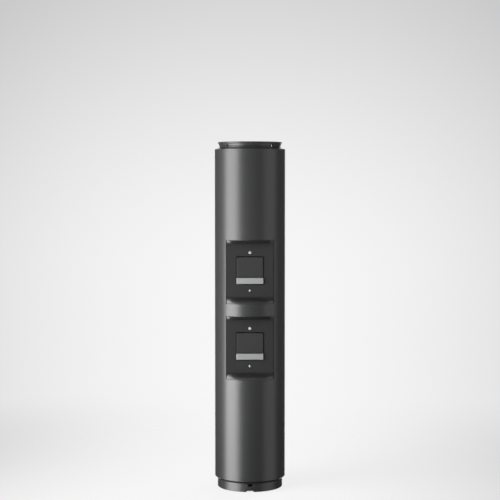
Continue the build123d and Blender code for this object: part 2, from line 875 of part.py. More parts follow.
def make_lid(z):
    """Hinged lid: plate, raised pad, seal groove, hinge bore and the hinge pockets."""
    pad_bottom = grip_top + grip_groove
    pad_height = lid_height / 2 - pad_bottom
    with BuildPart() as lid:
        with BuildSketch(front(lid_back, z)):
            RectangleRounded(lid_width, lid_height, lid_corner)
        extrude(amount=lid_plate)
        with BuildSketch(front(lid_face, z)):
            RectangleRounded(lid_width, lid_height, lid_corner)
            with Locations((0, (pad_bottom - lid_height / 2) / 2)):
                Rectangle(lid_width, lid_height - pad_height, mode=Mode.SUBTRACT)
        extrude(amount=lid_pad)
        fillet(lid.faces().sort_by(Axis.Y)[0].edges(), lid_round)
        with BuildSketch(front(lid_back, z)):
            add(d_outline(cavity_radius + 1 + seal_width, cavity_flat + 1 + seal_width))
            add(d_outline(cavity_radius + 1, cavity_flat + 1), mode=Mode.SUBTRACT)
            add(d_outline(cavity_radius - 1, cavity_flat - 1))
        extrude(amount=seal_depth, mode=Mode.SUBTRACT)
        pockets = (
            (ear_inner + ear_width / 2, ear_width + 2 * ear_slip),
            (-ear_inner - ear_width / 2, ear_width + 2 * ear_slip),
            (0, 2 * spring_pocket),
        )
        for x, width in pockets:
            with BuildSketch(front(lid_front - hinge_skin, z + (lid_height - hinge_pocket) / 2)):
                with Locations((x, 0)):
                    Rectangle(width, hinge_pocket)
            extrude(amount=lid_back + hinge_skin - lid_front, mode=Mode.SUBTRACT)
        with BuildSketch(side(-lid_width / 2, z)):
            with Locations((-hinge_y, hinge_z)):
                Circle(pin_radius + pin_fit)
        extrude(amount=lid_width, mode=Mode.SUBTRACT)
    return lid


def make_grip(z):
    """Grip bar along the lid's lower edge, with a finger groove under it."""
    with BuildPart() as grip:
        with BuildSketch(front(lid_face, z + grip_top - grip_height / 2)):
            RectangleRounded(grip_width, grip_height, 2)
        extrude(amount=grip_depth)
        fillet(grip.faces().sort_by(Axis.Y)[0].edges(), grip_round)
        flat = grip_depth - grip_round
        with BuildSketch(side(-grip_width / 2 + grip_end, z)):
            with Locations((-lid_face - flat / 2, grip_top - grip_height)):
                Circle(flat / 2 - 0.3)
        extrude(amount=grip_width - 2 * grip_end, mode=Mode.SUBTRACT)
    return grip


def make_seal(z):
    """Rubber seal in the lid's groove."""
    with BuildPart() as seal:
        with BuildSketch(front(lid_back, z)):
            add(d_outline(cavity_radius + 0.8 + seal_width, cavity_flat + 0.8 + seal_width))
            add(d_outline(cavity_radius + 1.2, cavity_flat + 1.2), mode=Mode.SUBTRACT)
        extrude(amount=seal_depth - 0.1)
    return seal


def make_pin(z):
    """Hinge pin through the ears and the lid."""
    half = ear_inner + ear_width + 1.5 * pin_radius
    with BuildPart() as pin:
        with BuildSketch(side(-half, z)):
            with Locations((-hinge_y, hinge_z)):
                Circle(pin_radius)
        extrude(amount=2 * half)
    return pin


def make_spring(z):
    """Torsion spring on the pin: close-wound turns, one leg to the lid and one to the socket."""
    mean = pin_radius + pin_fit + spring_wire + 0.1
    width = spring_turns * 2 * spring_wire
    with BuildPart() as spring:
        with BuildSketch(Plane((0, -hinge_y, z + hinge_z), x_dir=(1, 0, 0), z_dir=(0, -1, 0))):
            for n in range(spring_turns):
                with Locations((spring_wire * (2 * n + 1) - width / 2, mean)):
                    Circle(spring_wire)
            with Locations((0, mean)):
                Rectangle(width - 2 * spring_wire, spring_wire)
        revolve(axis=Axis((0, -hinge_y, z + hinge_z), (1, 0, 0)))
        for x, y in ((width / 2 - spring_wire, -mean), (spring_wire - width / 2, mean)):
            with BuildSketch(Plane((x, -hinge_y + y, z + hinge_z))):
                Circle(spring_wire * 0.9)
            extrude(amount=-hinge_pocket + hinge_drop + 1)
    return spring


def make_lock(z):
    """Lock actuator on top of the cup, and the bolt that drops into the plug's notch."""
    bottom = z + cavity_flat + cup_wall
    middle = lock_front - lock_length / 2
    with BuildPart() as actuator:
        with BuildSketch(Plane((0, -middle, bottom))):
            RectangleRounded(lock_width, lock_length, 3)
        extrude(amount=lock_height)
        with BuildSketch(Plane((0, -bolt_y, bottom))):
            Circle(bolt_radius + pin_fit)
        extrude(amount=lock_height - 2, mode=Mode.SUBTRACT)
    with BuildPart() as bolt:
        with BuildSketch(Plane((0, -bolt_y, z + cavity_flat + bolt_tip_lift))):
            Circle(bolt_radius)
        extrude(amount=bolt_length)
        chamfer(bolt.faces().sort_by(Axis.Z)[0].edges(), 0.6)
    return actuator, bolt


def make_light(z):
    """Domed status lens from behind the panel, and its light board."""
    back = panel_y - panel_wall
    with BuildPart() as lens:
        with BuildSketch(front(back, z + light_z)):
            Circle(light_radius + light_flange)
        extrude(amount=-light_flange)
        with BuildSketch(front(back, z + light_z)):
            Circle(light_radius)
        extrude(amount=panel_wall + light_dome)
        fillet(lens.faces().sort_by(Axis.Y)[0].edges(), light_dome - 0.1)
    with BuildPart() as board:
        with BuildSketch(front(back - light_flange, z + light_z)):
            Rectangle(board_width, board_height)
        extrude(amount=-board_thickness)
        with BuildSketch(front(back - light_flange - board_thickness, z + light_z)):
            Rectangle(6, 5)
        extrude(amount=-4)
    return lens, board


def make_panel_screw(z):
    """Tamper-proof button head screw below the lid."""
    with BuildPart() as screw:
        with BuildSketch(front(panel_y, z + screw_z)):
            Circle(screw_head_radius)
        extrude(amount=screw_head_height)
        fillet(screw.faces().sort_by(Axis.Y)[0].edges(), screw_head_height * 0.7)
        with BuildSketch(front(panel_y, z + screw_z)):
            Circle(screw_shank_radius)
        extrude(amount=-panel_wall - boss_length + 1)
        with BuildSketch(front(panel_y + screw_head_height, z + screw_z)):
            RegularPolygon(1.25, 6, major_radius=False)
        extrude(amount=-1.2, mode=Mode.SUBTRACT)
    return screw


# ================================ equipment inside ============================================
plate_front = plate_y - plate_thickness / 2
rail_front = plate_front - din_depth
plate_bottom = tube_bottom + bulkhead_thickness + plate_lift
plate_top = tube_top - plate_lift
terminal_z = tube_bottom + terminal_lift


def make_plate():
    """Equipment plate in the guide ribs."""
    with BuildPart() as plate:
        with BuildSketch(front(-plate_front, (plate_top + plate_bottom) / 2)):
            Rectangle(2 * plate_half_width, plate_top - plate_bottom)
            with Locations(*[(0, z - (plate_top + plate_bottom) / 2) for z in charge_points.values()]):
                SlotOverall(*plate_slot, mode=Mode.SUBTRACT)
        extrude(amount=-plate_thickness)
    return plate


def make_rails():
    """Top-hat rails on the plate."""
    lips_y = rail_front + din_lip
    with BuildPart() as rails:
        for z in rail_levels:
            with BuildSketch(side(-din_length / 2, z)):
                with BuildLine():
                    half, base = din_height / 2, din_base / 2
                    Polyline(
                        (plate_front, -base),
                        (plate_front, base),
                        (lips_y, base),
                        (lips_y, half),
                        (rail_front, half),
                        (rail_front, base - din_lip),
                        (plate_front - din_lip, base - din_lip),
                        (plate_front - din_lip, din_lip - base),
                        (rail_front, din_lip - base),
                        (rail_front, -half),
                        (lips_y, -half),
                        (lips_y, -base),
                        close=True,
                    )
                make_face()
            extrude(amount=din_length)
    return rails


def module_block(x, z):
    """Stepped housing of a rail-mounted device, clipped over the rail's lips."""
    half, nose, clip = module_height / 2, nose_height / 2, din_height / 2 + 0.3
    step, tip = rail_front - step_depth, rail_front - nose_depth
    rear = rail_front + clip_depth
    with BuildPart() as block:
        with BuildSketch(side(x - module_width / 2 + 0.15, z)):
            with BuildLine():
                Polyline(
                    (rear, half),
                    (rear, clip),
                    (rail_front, clip),
                    (rail_front, -clip),
                    (rear, -clip),
                    (rear, -half),
                    (step, -half),
                    (step, -nose),
                    (tip, -nose),
                    (tip, nose),
                    (step, nose),
                    (step, half),
                    close=True,
                )
            make_face()
        extrude(amount=module_width - 0.3)
        with BuildSketch(front(-step, z)):
            with GridLocations(module_width / 2, module_height * 0.75, 2, 2):
                Circle(3)
        extrude(amount=-4, mode=Mode.SUBTRACT)
    return block


lever_y = rail_front - nose_depth + lever_back
device_x = {"upper": -module_width / 2, "lower": module_width / 2}


def make_breaker(x, z):
    """Circuit breaker with residual-current unit, its lever and its test button."""
    block = module_block(x, z)
    tip = rail_front - nose_depth
    with BuildPart() as body:
        add(block.part)
        with BuildSketch(front(-tip, z)):
            with Locations((x, 0)):
                Rectangle(lever_width + 0.8, 2 * (lever_hub + 5))
            with Locations((x + button_x, button_z)):
                Rectangle(button_size + 2 * button_slip, button_size + 2 * button_slip)
        extrude(amount=-lever_back - lever_hub - 0.3, mode=Mode.SUBTRACT)
    with BuildPart() as lever:
        with BuildSketch(side(x - lever_width / 2, z)):
            with Locations((lever_y, 0)):
                Circle(lever_hub)
            with Locations(Location((lever_y, 0), 180 - lever_angle)):
                with Locations((lever_reach / 2, 0)):
                    Rectangle(lever_reach, lever_thickness)
        extrude(amount=lever_width)
    with BuildPart() as button:
        with BuildSketch(front(-tip + button_proud, z)):
            with Locations((x + button_x, button_z)):
                Rectangle(button_size, button_size)
        extrude(amount=-button_length)
    return body, lever, button


def make_module_pair(z, shares):
    """Two devices side by side, each with a window that takes these shares of its front."""
    window = (shares[0] * module_width, shares[1] * nose_height)
    pair = []
    for x in device_x.values():
        block = module_block(x, z)
        with BuildPart() as device:
            add(block.part)
            with BuildSketch(front(nose_depth - rail_front, z)):
                with Locations((x, 6)):
                    Rectangle(*window)
            extrude(amount=-1.5, mode=Mode.SUBTRACT)
        pair.append(device.part)
    return pair


def make_terminals():
    """Supply terminal block with five clamps, and the earth stud beside it."""
    width, height, depth = terminal_size
    with BuildPart() as block:
        with BuildSketch(front(-plate_front, terminal_z)):
            with Locations((terminal_x, 0)):
                Rectangle(width, height)
        extrude(amount=depth)
        with BuildSketch(front(depth - plate_front, terminal_z)):
            with Locations((terminal_x, 0)):
                with GridLocations(width / clamp_count, height / 2, clamp_count, 2):
                    Circle(clamp_radius)
        extrude(amount=-6, mode=Mode.SUBTRACT)
    with BuildPart() as stud:
        with BuildSketch(front(-plate_front, terminal_z)):
            with Locations((earth_x, 0)):
                RegularPolygon(6.5, 6, major_radius=False)
        extrude(amount=6)
        with BuildSketch(front(-plate_front, terminal_z)):
            with Locations((earth_x, 0)):
                Circle(earth_radius)
        extrude(amount=earth_length)
    return block, stud


def save_group(parts, label):
    """Write several separate solids as one node."""
    group = Compound(children=list(parts))
    group.label = label
    export_step(group, f"parts/{label}.step")


def build_column():
    """Write the tube, both couplings and what closes them."""
    save(make_tube(), "housing_tube")
    save(make_top_coupling(), "top_coupling")
    save(make_base_coupling(), "base_coupling")
    save(make_axial_screws(top_flange_top, 1), "top_coupling_screws")
    save(make_axial_screws(base_flange_bottom, -1), "base_coupling_screws")
    save(make_bulkhead(top_flange_top), "top_bulkhead")
    save(make_bulkhead(tube_bottom), "base_bulkhead")
    save(make_bulkhead_screws(), "bulkhead_screws")
    save(make_grommet(), "top_grommet")
    gland, nut = make_gland()
    save(gland, "cable_gland")
    save(nut, "gland_nut")


def build_charge_point(name, z):
    """Write every piece of one charge point."""
    save(make_pocket(z), f"pocket_{name}")
    save(make_socket(z), f"socket_housing_{name}")
    save(make_socket_screws(z), f"socket_screws_{name}")
    save(make_carrier(z), f"contact_carrier_{name}")
    save(make_contacts(z), f"contacts_{name}")
    save(make_lid(z), f"lid_{name}")
    save(make_grip(z), f"lid_grip_{name}")
    save(make_seal(z), f"lid_seal_{name}")
    save(make_pin(z), f"hinge_pin_{name}")
    save(make_spring(z), f"lid_spring_{name}")
    actuator, bolt = make_lock(z)
    save(actuator, f"lock_actuator_{name}")
    save(bolt, f"lock_bolt_{name}")
    lens, board = make_light(z)
    save(lens, f"status_lens_{name}")
    save(board, f"light_board_{name}")
    save(make_panel_screw(z), f"panel_screw_{name}")


def build_equipment():
    """Write the plate, the rails and the devices on them."""
    save(make_plate(), "equipment_plate")
    save(make_rails(), "din_rails")
    for name, x in device_x.items():
        body, lever, button = make_breaker(x, rail_levels[0])
        save(body, f"breaker_{name}")
        save(lever, f"breaker_lever_{name}")
        save(button, f"test_button_{name}")
    save_group(make_module_pair(rail_levels[1], contactor_window), "contactors")
    save_group(make_module_pair(rail_levels[2], meter_window), "energy_meters")
    save_group(make_module_pair(rail_levels[3], controller_window), "charge_controllers")
    block, stud = make_terminals()
    save(block, "terminal_block")
    save(stud, "earth_stud")


os.makedirs("parts", exist_ok=True)
build_column()
for point_name, point_z in charge_points.items():
    build_charge_point(point_name, point_z)
save_group(make_gaskets(), "pocket_gaskets")
insert_studs, insert_nuts = make_insert_fixings()
save(insert_studs, "insert_studs")
save(insert_nuts, "insert_nuts")
build_equipment()
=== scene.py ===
# %% [markdown]
# # Dressing an EV charging post
# The real post is a round aluminium column module that stacks with others of its kind. A neck at each
# end plugs into the next module, and two charge points sit in pockets cut into the front. Every rigid
# piece comes in from the construction model at its real size and place, so nothing here moves a piece:
# this lesson gives each one the surface that the real material has, and puts the post in a studio.

# %% Load the construction model
import math

import bmesh
import bpy
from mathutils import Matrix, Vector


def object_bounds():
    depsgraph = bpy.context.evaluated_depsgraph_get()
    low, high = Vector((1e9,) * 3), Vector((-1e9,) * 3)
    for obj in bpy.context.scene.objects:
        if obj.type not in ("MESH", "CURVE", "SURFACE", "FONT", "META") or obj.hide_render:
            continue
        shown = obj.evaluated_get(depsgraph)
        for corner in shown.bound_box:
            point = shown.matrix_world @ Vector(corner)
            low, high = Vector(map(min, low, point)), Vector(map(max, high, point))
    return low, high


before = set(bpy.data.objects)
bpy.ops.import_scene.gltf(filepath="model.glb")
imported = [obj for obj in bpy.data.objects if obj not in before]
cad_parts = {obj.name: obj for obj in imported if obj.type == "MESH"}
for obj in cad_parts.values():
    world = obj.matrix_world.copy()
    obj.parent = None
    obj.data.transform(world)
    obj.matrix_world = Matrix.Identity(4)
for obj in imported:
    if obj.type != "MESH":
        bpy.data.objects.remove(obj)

bpy.context.view_layer.update()
cad_low, cad_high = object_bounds()
post_height = cad_high.z


def node_span(name, axis):
    """The least and the greatest coordinate of one node along an axis, in metres at rest."""
    places = [corner["XYZ".index(axis)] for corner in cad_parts[name].bound_box]
    return min(places), max(places)


print("nodes", len(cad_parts), "box", [round(v, 4) for v in cad_high - cad_low])

# %% [markdown]
# ## The camera
# The post is seen from the front with a long lens that stands a little below its top and looks slightly
# down, so that the curve of the foot shows and the post stands in the lower part of the picture. The
# lens is long enough for the post's sides to stay nearly parallel in spite of the tilt. The Standard
# view shows a colour as it is written, which a filmic one wouldn't.

# %% Camera
camera_distance = 3.83
camera_height = 0.870
lens_length = 96.87
look_down = math.radians(2.897)

camera_data = bpy.data.cameras.new("camera")
camera_data.lens = lens_length
camera_data.sensor_width = 36.0
camera = bpy.data.objects.new("camera", camera_data)
camera.location = (0.0, -camera_distance, camera_height)
camera.rotation_euler = (math.pi / 2 - look_down, 0, 0)
bpy.context.scene.collection.objects.link(camera)
bpy.context.scene.camera = camera
bpy.context.scene.view_settings.view_transform = "Standard"
print("camera at", tuple(round(v, 3) for v in camera.location), "lens", lens_length)

# %% [markdown]
# ## Writing node trees as expressions
# A material in Blender is a graph of small nodes. Wiring them by hand hides the idea, so one class wraps
# an output socket and lets Python's own operators add the Math nodes: `1 - mask` or `grain * 0.4 + 0.3`
# then read as the sums that they are. Every other node comes from `node`, which sets the node's own
# settings first, because some of them change which sockets exist, and then its input values or links.

# %% A socket that can be added and multiplied
class Wire:
    def __init__(self, tree, socket=None):
        self.tree = tree
        self.socket = socket

    def node(self, kind, settings=None, inputs=None, output=0):
        made = self.tree.nodes.new(kind)
        for name, value in (settings or {}).items():
            setattr(made, name, value)
        for name, value in (inputs or {}).items():
            if isinstance(value, Wire):
                self.tree.links.new(value.socket, made.inputs[name])
            else:
                made.inputs[name].default_value = value
        return Wire(self.tree, made.outputs[output] if made.outputs else None)

    def math(self, operation, first, second=0.0):
        return self.node("ShaderNodeMath", {"operation": operation}, {0: first, 1: second})

    def __add__(self, other):
        return self.math("ADD", self, other)

    __radd__ = __add__

    def __sub__(self, other):
        return self.math("SUBTRACT", self, other)

    def __rsub__(self, other):
        return self.math("SUBTRACT", other, self)

    def __mul__(self, other):
        return self.math("MULTIPLY", self, other)

    __rmul__ = __mul__

    def between(self, low, high):
        """A soft step of this value: 0 below low, 1 above high."""
        settings = {"interpolation_type": "SMOOTHSTEP"}
        return self.node("ShaderNodeMapRange", settings, {"Value": self, "From Min": low, "From Max": high})


# %% [markdown]
# ## What most finishes share
# Most finishes need the same three things: a colour that wanders a little, a roughness that wanders with
# it, and a bump at the scale of the real surface. Object coordinates in metres are used for all of them:
# they don't depend on an unwrap, keep one scale on every piece, and travel with a piece that moves.

# %% Where a point is, and noise there
def object_place(wires):
    return wires.node("ShaderNodeTexCoord", output="Object")


def object_axis(wires, axis):
    """One object coordinate in metres, such as the height for Z."""
    return wires.node("ShaderNodeSeparateXYZ", {}, {"Vector": object_place(wires)}, output=axis)


def stretched(wires, scale):
    """Object coordinates with each axis multiplied, so that a noise becomes streaks."""
    return wires.node("ShaderNodeMapping", {}, {"Vector": object_place(wires), "Scale": scale})


def noise(wires, per_metre, detail=2.0, place=None):
    """Noise from 0 to 1 whose blobs are about one over per_metre across."""
    settings = {"noise_dimensions": "3D"}
    inputs = {"Vector": place or object_place(wires), "Scale": per_metre, "Detail": detail}
    return wires.node("ShaderNodeTexNoise", settings, inputs)


# %% [markdown]
# Colours are blended by a Mix node, because a Math node would turn them grey. Each finish ends in one
# Principled shader, and is kept under the name that the parts list gives its material.

# %% Blends, bumps and the closing shader
finishes = {}


def new_finish(name):
    material = bpy.data.materials.new(name)
    material.use_nodes = True
    tree = material.node_tree
    tree.nodes.clear()
    return material, Wire(tree)


def grey(level, warmth=0.0):
    """A near neutral linear colour, cooler for a negative warmth."""
    return (level * (1 + warmth), level, level * (1 - warmth), 1.0)


def blend_colour(wires, factor, first, second):
    settings = {"data_type": "RGBA", "blend_type": "MIX"}
    return wires.node("ShaderNodeMix", settings, {0: factor, 6: first, 7: second}, output=2)


def bump(wires, height, depth, strength, under=None):
    """A bump whose height runs from 0 to 1 over depth, in metres, on top of another bump if given."""
    inputs = {"Strength": strength, "Distance": depth, "Height": height}
    if under is not None:
        inputs["Normal"] = under
    return wires.node("ShaderNodeBump", {}, inputs)


def surface(wires, **sockets):
    """Ends a finish in one Principled shader, from socket names written with underscores."""
    inputs = {name.replace("_", " ").title(): value for name, value in sockets.items()}
    shader = wires.node("ShaderNodeBsdfPrincipled", {}, inputs)
    wires.node("ShaderNodeOutputMaterial", {}, {"Surface": shader})


def keep(slot, material):
    finishes[slot] = material
    print("finish", slot, "from", len(material.node_tree.nodes), "shader nodes")


# %% [markdown]
# ## Powder coat on the column
# The column is sprayed with charged powder that melts into a skin in the oven. The skin is not quite
# flat: it has the soft orange peel of the melt, about two millimetres across, and a fine grit that makes
# the shine satin. Both are bumps under one dark anthracite colour. Where modules are stacked, the necks
# get handled and lose a little of the grit, so their edges are a shade smoother and lighter.

# %% Column coat
coat_level = 0.026
coat_coolness = -0.012
coat_roughness = 0.36
peel_depth = 0.00004
grit_depth = 0.00001
handled_top = 0.006
handled_foot = 0.004


def column_coat():
    material, wires = new_finish("powder_coat_fine_texture")
    batch = noise(wires, per_metre=9.0, detail=3.0)
    peel = noise(wires, per_metre=420.0, detail=1.0)
    grit = noise(wires, per_metre=2600.0)
    height = object_axis(wires, "Z")
    top_edge = height.between(post_height - handled_top, post_height)
    foot_edge = (handled_foot - height).between(0.0, handled_foot)
    rubbed = (top_edge + foot_edge) * noise(wires, per_metre=160.0, detail=4.0).between(0.42, 0.62)
    darker = grey(coat_level * 0.96, coat_coolness)
    lighter = grey(coat_level * 1.05, coat_coolness)
    colour = blend_colour(wires, batch, darker, lighter)
    colour = blend_colour(wires, rubbed * 0.5, colour, grey(coat_level * 2.0, coat_coolness))
    rough = coat_roughness - 0.02 + batch * 0.03 + grit * 0.02 - rubbed * 0.06
    skin = bump(wires, peel, peel_depth, 0.5)
    surface(wires, base_color=colour, roughness=rough, normal=bump(wires, grit, grit_depth, 0.6, skin))
    return material


keep("column_coat", column_coat())

# %% [markdown]
# ## The pockets' coat
# Each pocket is an aluminium insert with a duller coat than the column, so that it stays dark when the
# column shines. Its colour carries painted shade in the corners above and below the panel, where shade
# falls, and a painted highlight on the crest of its lower lip, where light falls on the curve. Both
# pockets are alike, so these painted marks are worked out from the height over the middle of the nearer lid.

# %% Pocket coat
pocket_level = 0.0195
lower_lid, upper_lid = (sum(node_span(name, "Z")) / 2 for name in ("lid_lower", "lid_upper"))
changeover = 0.001
# Where the painted highlight and the painted shade lie, as heights from the nearer lid's middle, and how
# strong they are.
lip_crest = (-0.090, -0.083)
corner_below = (-0.077, -0.070)
corner_above = (0.060, 0.072)
painted_highlight_gain = 0.9
painted_shade_below = 0.45
painted_shade_above = 0.15


def pocket_coat():
    material, wires = new_finish("matt_coat")
    cloud = noise(wires, per_metre=24.0, detail=3.0)
    grit = noise(wires, per_metre=1900.0, detail=3.0)
    height = object_axis(wires, "Z")
    halfway = (lower_lid + upper_lid) / 2
    in_upper = height.between(halfway - changeover, halfway + changeover)
    level = height - lower_lid - in_upper * (upper_lid - lower_lid)
    # Painted highlight: the lower lip's crest is made lighter, where light falls on its curve.
    painted_highlight_mask = 1.0 - level.between(*lip_crest)
    # Painted shade: the coat is made darker in the corners above and below the panel.
    corner = (1.0 - level.between(*corner_below)) * painted_shade_below + level.between(*corner_above) * painted_shade_above
    coat = pocket_level * (1.0 - corner + painted_highlight_mask * painted_highlight_gain)
    coat = coat * (0.94 + cloud * 0.12)
    tint = {"Red": coat * 0.99, "Green": coat, "Blue": coat * 1.01}
    surface(wires, base_color=wires.node("ShaderNodeCombineColor", {}, tint),
            roughness=0.34 + grit * 0.06, normal=bump(wires, grit, 0.00002, 0.6))
    return material


keep("pocket_coat", pocket_coat())
print("lid middles at", round(lower_lid, 4), "and", round(upper_lid, 4))

# %% [markdown]
# ## Moulded plastics
# Sockets, switches and terminals are moulded, and a spark-eroded mould leaves a fine grain on all of
# them. One function makes every such plastic: the grain is the same noise, and only the colour, the
# gloss and how much the melt's flow varies the tone change from piece to piece.

# %% Moulded plastics
mould_grain = 1500.0
mould_grain_depth = 0.00002


def moulded_plastic(name, colour, roughness, tone=0.08):
    material, wires = new_finish(name)
    flow = noise(wires, per_metre=40.0, detail=4.0)
    pits = noise(wires, mould_grain, detail=3.0)
    low = tuple(c * (1 - tone) for c in colour[:3]) + (1.0,)
    high = tuple(c * (1 + tone) for c in colour[:3]) + (1.0,)
    surface(wires, base_color=blend_colour(wires, flow, low, high), roughness=roughness - 0.03 + pits * 0.06,
            normal=bump(wires, pits, mould_grain_depth, 0.6))
    return material


for slot, colour, roughness in (
    ("socket_plastic", grey(0.026), 0.42),
    ("carrier_plastic", grey(0.034), 0.40),
    ("gland_plastic", grey(0.04), 0.44),
    ("actuator_plastic", grey(0.09), 0.42),
    ("lever_plastic", grey(0.04), 0.30),
    ("button_plastic", (0.10, 0.24, 0.52, 1.0), 0.30),
):
    keep(slot, moulded_plastic(slot, colour, roughness))
keep("device_plastic", moulded_plastic("device_plastic", grey(0.62), 0.44, tone=0.03))
keep("terminal_plastic", moulded_plastic("terminal_plastic", grey(0.46), 0.42, tone=0.04))

# %% [markdown]
# The lid has the same grain, but its two sides, which face the narrow gap to the panel, are rougher than
# its face, and their colour is darkened as painted shade that dims the light falling on them. A point is
# on a side when it is far enough from the middle, to the left or to the right, so one mask serves both sides
# of both lids.

# %% The lids' plastic
lid_level = 0.0228
lid_half_width = node_span("lid_upper", "X")[1]
lid_side = (lid_half_width - 0.0025, lid_half_width - 0.0013)


def lid_plastic():
    material, wires = new_finish("lid_plastic")
    flow = noise(wires, per_metre=40.0, detail=4.0)
    pits = noise(wires, mould_grain, detail=3.0)
    side = wires.math("ABSOLUTE", object_axis(wires, "X")).between(*lid_side)
    face = blend_colour(wires, flow, grey(lid_level * 0.92, -0.01), grey(lid_level * 1.08, -0.01))
    # Painted shade: the sides' colour is darkened to about a third of the face's tone.
    surface(wires, base_color=blend_colour(wires, side, face, grey(lid_level * 0.35)),
            roughness=0.38 + pits * 0.06 + side * 0.4, normal=bump(wires, pits, mould_grain_depth, 0.6))
    return material


keep("lid_plastic", lid_plastic())

# %% [markdown]
# ## The grips' aluminium
# The grip is satin anodised aluminium, brushed along its length before it is anodised. Brushing leaves
# streaks that are long in one direction and hair-fine in the other, which is noise in coordinates that
# are squeezed along X. The grip's rounded ends are rougher, and their colour is darkened as painted shade
# that dims the highlight on them.

# %% Brushed aluminium
brush_streaks = (45.0, 3800.0, 3800.0)
grip_half_length = node_span("lid_grip_upper", "X")[1]
grip_ends = (grip_half_length - 0.0040, grip_half_length - 0.0008)
grip_coolness = -0.006


def grip_aluminium():
    material, wires = new_finish("brushed_anodised_aluminium")
    hairs = noise(wires, per_metre=1.0, detail=3.0, place=stretched(wires, brush_streaks))
    cloud = noise(wires, per_metre=60.0)
    painted_shade_end = wires.math("ABSOLUTE", object_axis(wires, "X")).between(*grip_ends)
    colour = blend_colour(wires, hairs, grey(0.38, grip_coolness), grey(0.46, grip_coolness))
    # Painted shade: the ends' colour is darkened, which dims the highlight on them.
    colour = blend_colour(wires, painted_shade_end, colour, grey(0.27, grip_coolness))
    rough = 0.46 + cloud * 0.06 + hairs * 0.06 + painted_shade_end * 0.3
    surface(wires, base_color=colour, metallic=0.8, roughness=rough,
            normal=bump(wires, hairs, 0.00001, 0.5))
    return material


keep("grip_aluminium", grip_aluminium())

# %% [markdown]
# ## Steels and contact brass
# Screws, studs, springs, rails and plates are plated or bare steel, and the contacts are silver plated
# brass. Small crystals vary the tone of all of them, and their roughness varies with handling.

# %% Plated metals
crystal_tone = 0.12
crystal_depth = 0.00001


def plated_metal(name, colour, roughness):
    material, wires = new_finish(name)
    crystals = noise(wires, per_metre=320.0, detail=4.0)
    cloud = noise(wires, per_metre=35.0)
    low = tuple(c * (1 - crystal_tone) for c in colour) + (1.0,)
    high = tuple(c * (1 + crystal_tone) for c in colour) + (1.0,)
    surface(wires, base_color=blend_colour(wires, crystals, low, high), metallic=1.0,
            roughness=roughness - 0.05 + cloud * 0.1, normal=bump(wires, crystals, crystal_depth, 0.4))
    return material


keep("zinc_steel", plated_metal("zinc_plated_steel", (0.60, 0.61, 0.62), 0.34))
keep("stainless", plated_metal("stainless_steel", (0.50, 0.495, 0.49), 0.48))
keep("spring_steel", plated_metal("spring_wire", (0.46, 0.46, 0.46), 0.28))
keep("contact_brass", plated_metal("silver_plated_brass", (0.78, 0.72, 0.58), 0.26))

# %% [markdown]
# ## Seals and status lens
# The seals are matt rubber that has bloomed a little grey. The status lens is opal plastic: light
# scatters inside it, so it reads as a pale dot even when it is off.

# %% Rubber and opal plastic
def seal_rubber():
    material, wires = new_finish("matt_rubber")
    bloom = noise(wires, per_metre=90.0, detail=5.0)
    pores = noise(wires, per_metre=2200.0)
    surface(wires, base_color=blend_colour(wires, bloom, grey(0.016), grey(0.03)),
            roughness=0.72 + bloom * 0.12, normal=bump(wires, pores, 0.00002, 0.5))
    return material


def opal_lens():
    material, wires = new_finish("opal_lens")
    cloud = noise(wires, per_metre=300.0)
    surface(wires, base_color=blend_colour(wires, cloud, grey(0.33, 0.004), grey(0.37, 0.004)),
            roughness=0.48 + cloud * 0.06, normal=bump(wires, cloud, 0.00001, 0.3))
    return material


keep("seal_rubber", seal_rubber())
keep("light_lens", opal_lens())

# %% [markdown]
# ## Circuit board
# The board behind each lens has green solder mask over a regular grid of copper tracks. A brick pattern
# gives it: the lines of mortar are the tracks, and the mask looks lighter over them.

# %% Solder mask
mask_dark = (0.015, 0.11, 0.045, 1.0)
mask_mid = (0.02, 0.13, 0.05, 1.0)
mask_light = (0.03, 0.19, 0.08, 1.0)


def circuit_board():
    material, wires = new_finish("solder_mask")
    weave = wires.node("ShaderNodeTexBrick", {"offset": 0.5}, {
        "Vector": object_place(wires), "Scale": 900.0, "Mortar Size": 0.05,
        "Color1": mask_dark, "Color2": mask_mid, "Mortar": mask_light})
    cloud = noise(wires, per_metre=200.0)
    surface(wires, base_color=weave, roughness=0.28 + cloud * 0.12,
            normal=bump(wires, cloud, 0.00002, 0.3))
    return material


keep("board_green", circuit_board())

# %% [markdown]
# ## One finish for each material of the parts list
# The construction model names the material of every node, and several nodes share one. Making each
# finish once and handing it to all of its nodes keeps the pieces of one batch alike, as they are when
# they come from one supplier.

# %% Hand out the finishes
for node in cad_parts.values():
    for place in node.material_slots:
        place.material = finishes[place.material.name]
print("finishes", len(finishes), "on", len(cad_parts), "nodes")

# %% [markdown]
# ## The studio
# The post stands on pale paper in front of a pale room. The room is shown to the camera much paler
# than it lights the post, which leaves the lamps free to draw the column. It gets a little darker
# towards its ceiling and its sides, as real rooms do.

# %% The room
room_tone = 0.93
ceiling_loss = 0.42
ceiling_rise = (-0.08, 0.30)
side_loss = 4.6
most_side_loss = 0.3
ambient = 0.20


def seen_or_mirrored(wires):
    """1 for what the camera, gloss or glass sees directly, and 0 for light that falls on things."""
    camera_ray = wires.node("ShaderNodeLightPath", output="Is Camera Ray")
    glossy_ray = wires.node("ShaderNodeLightPath", output="Is Glossy Ray")
    transmission_ray = wires.node("ShaderNodeLightPath", output="Is Transmission Ray")
    return wires.math("MINIMUM", camera_ray + glossy_ray + transmission_ray, 1.0)


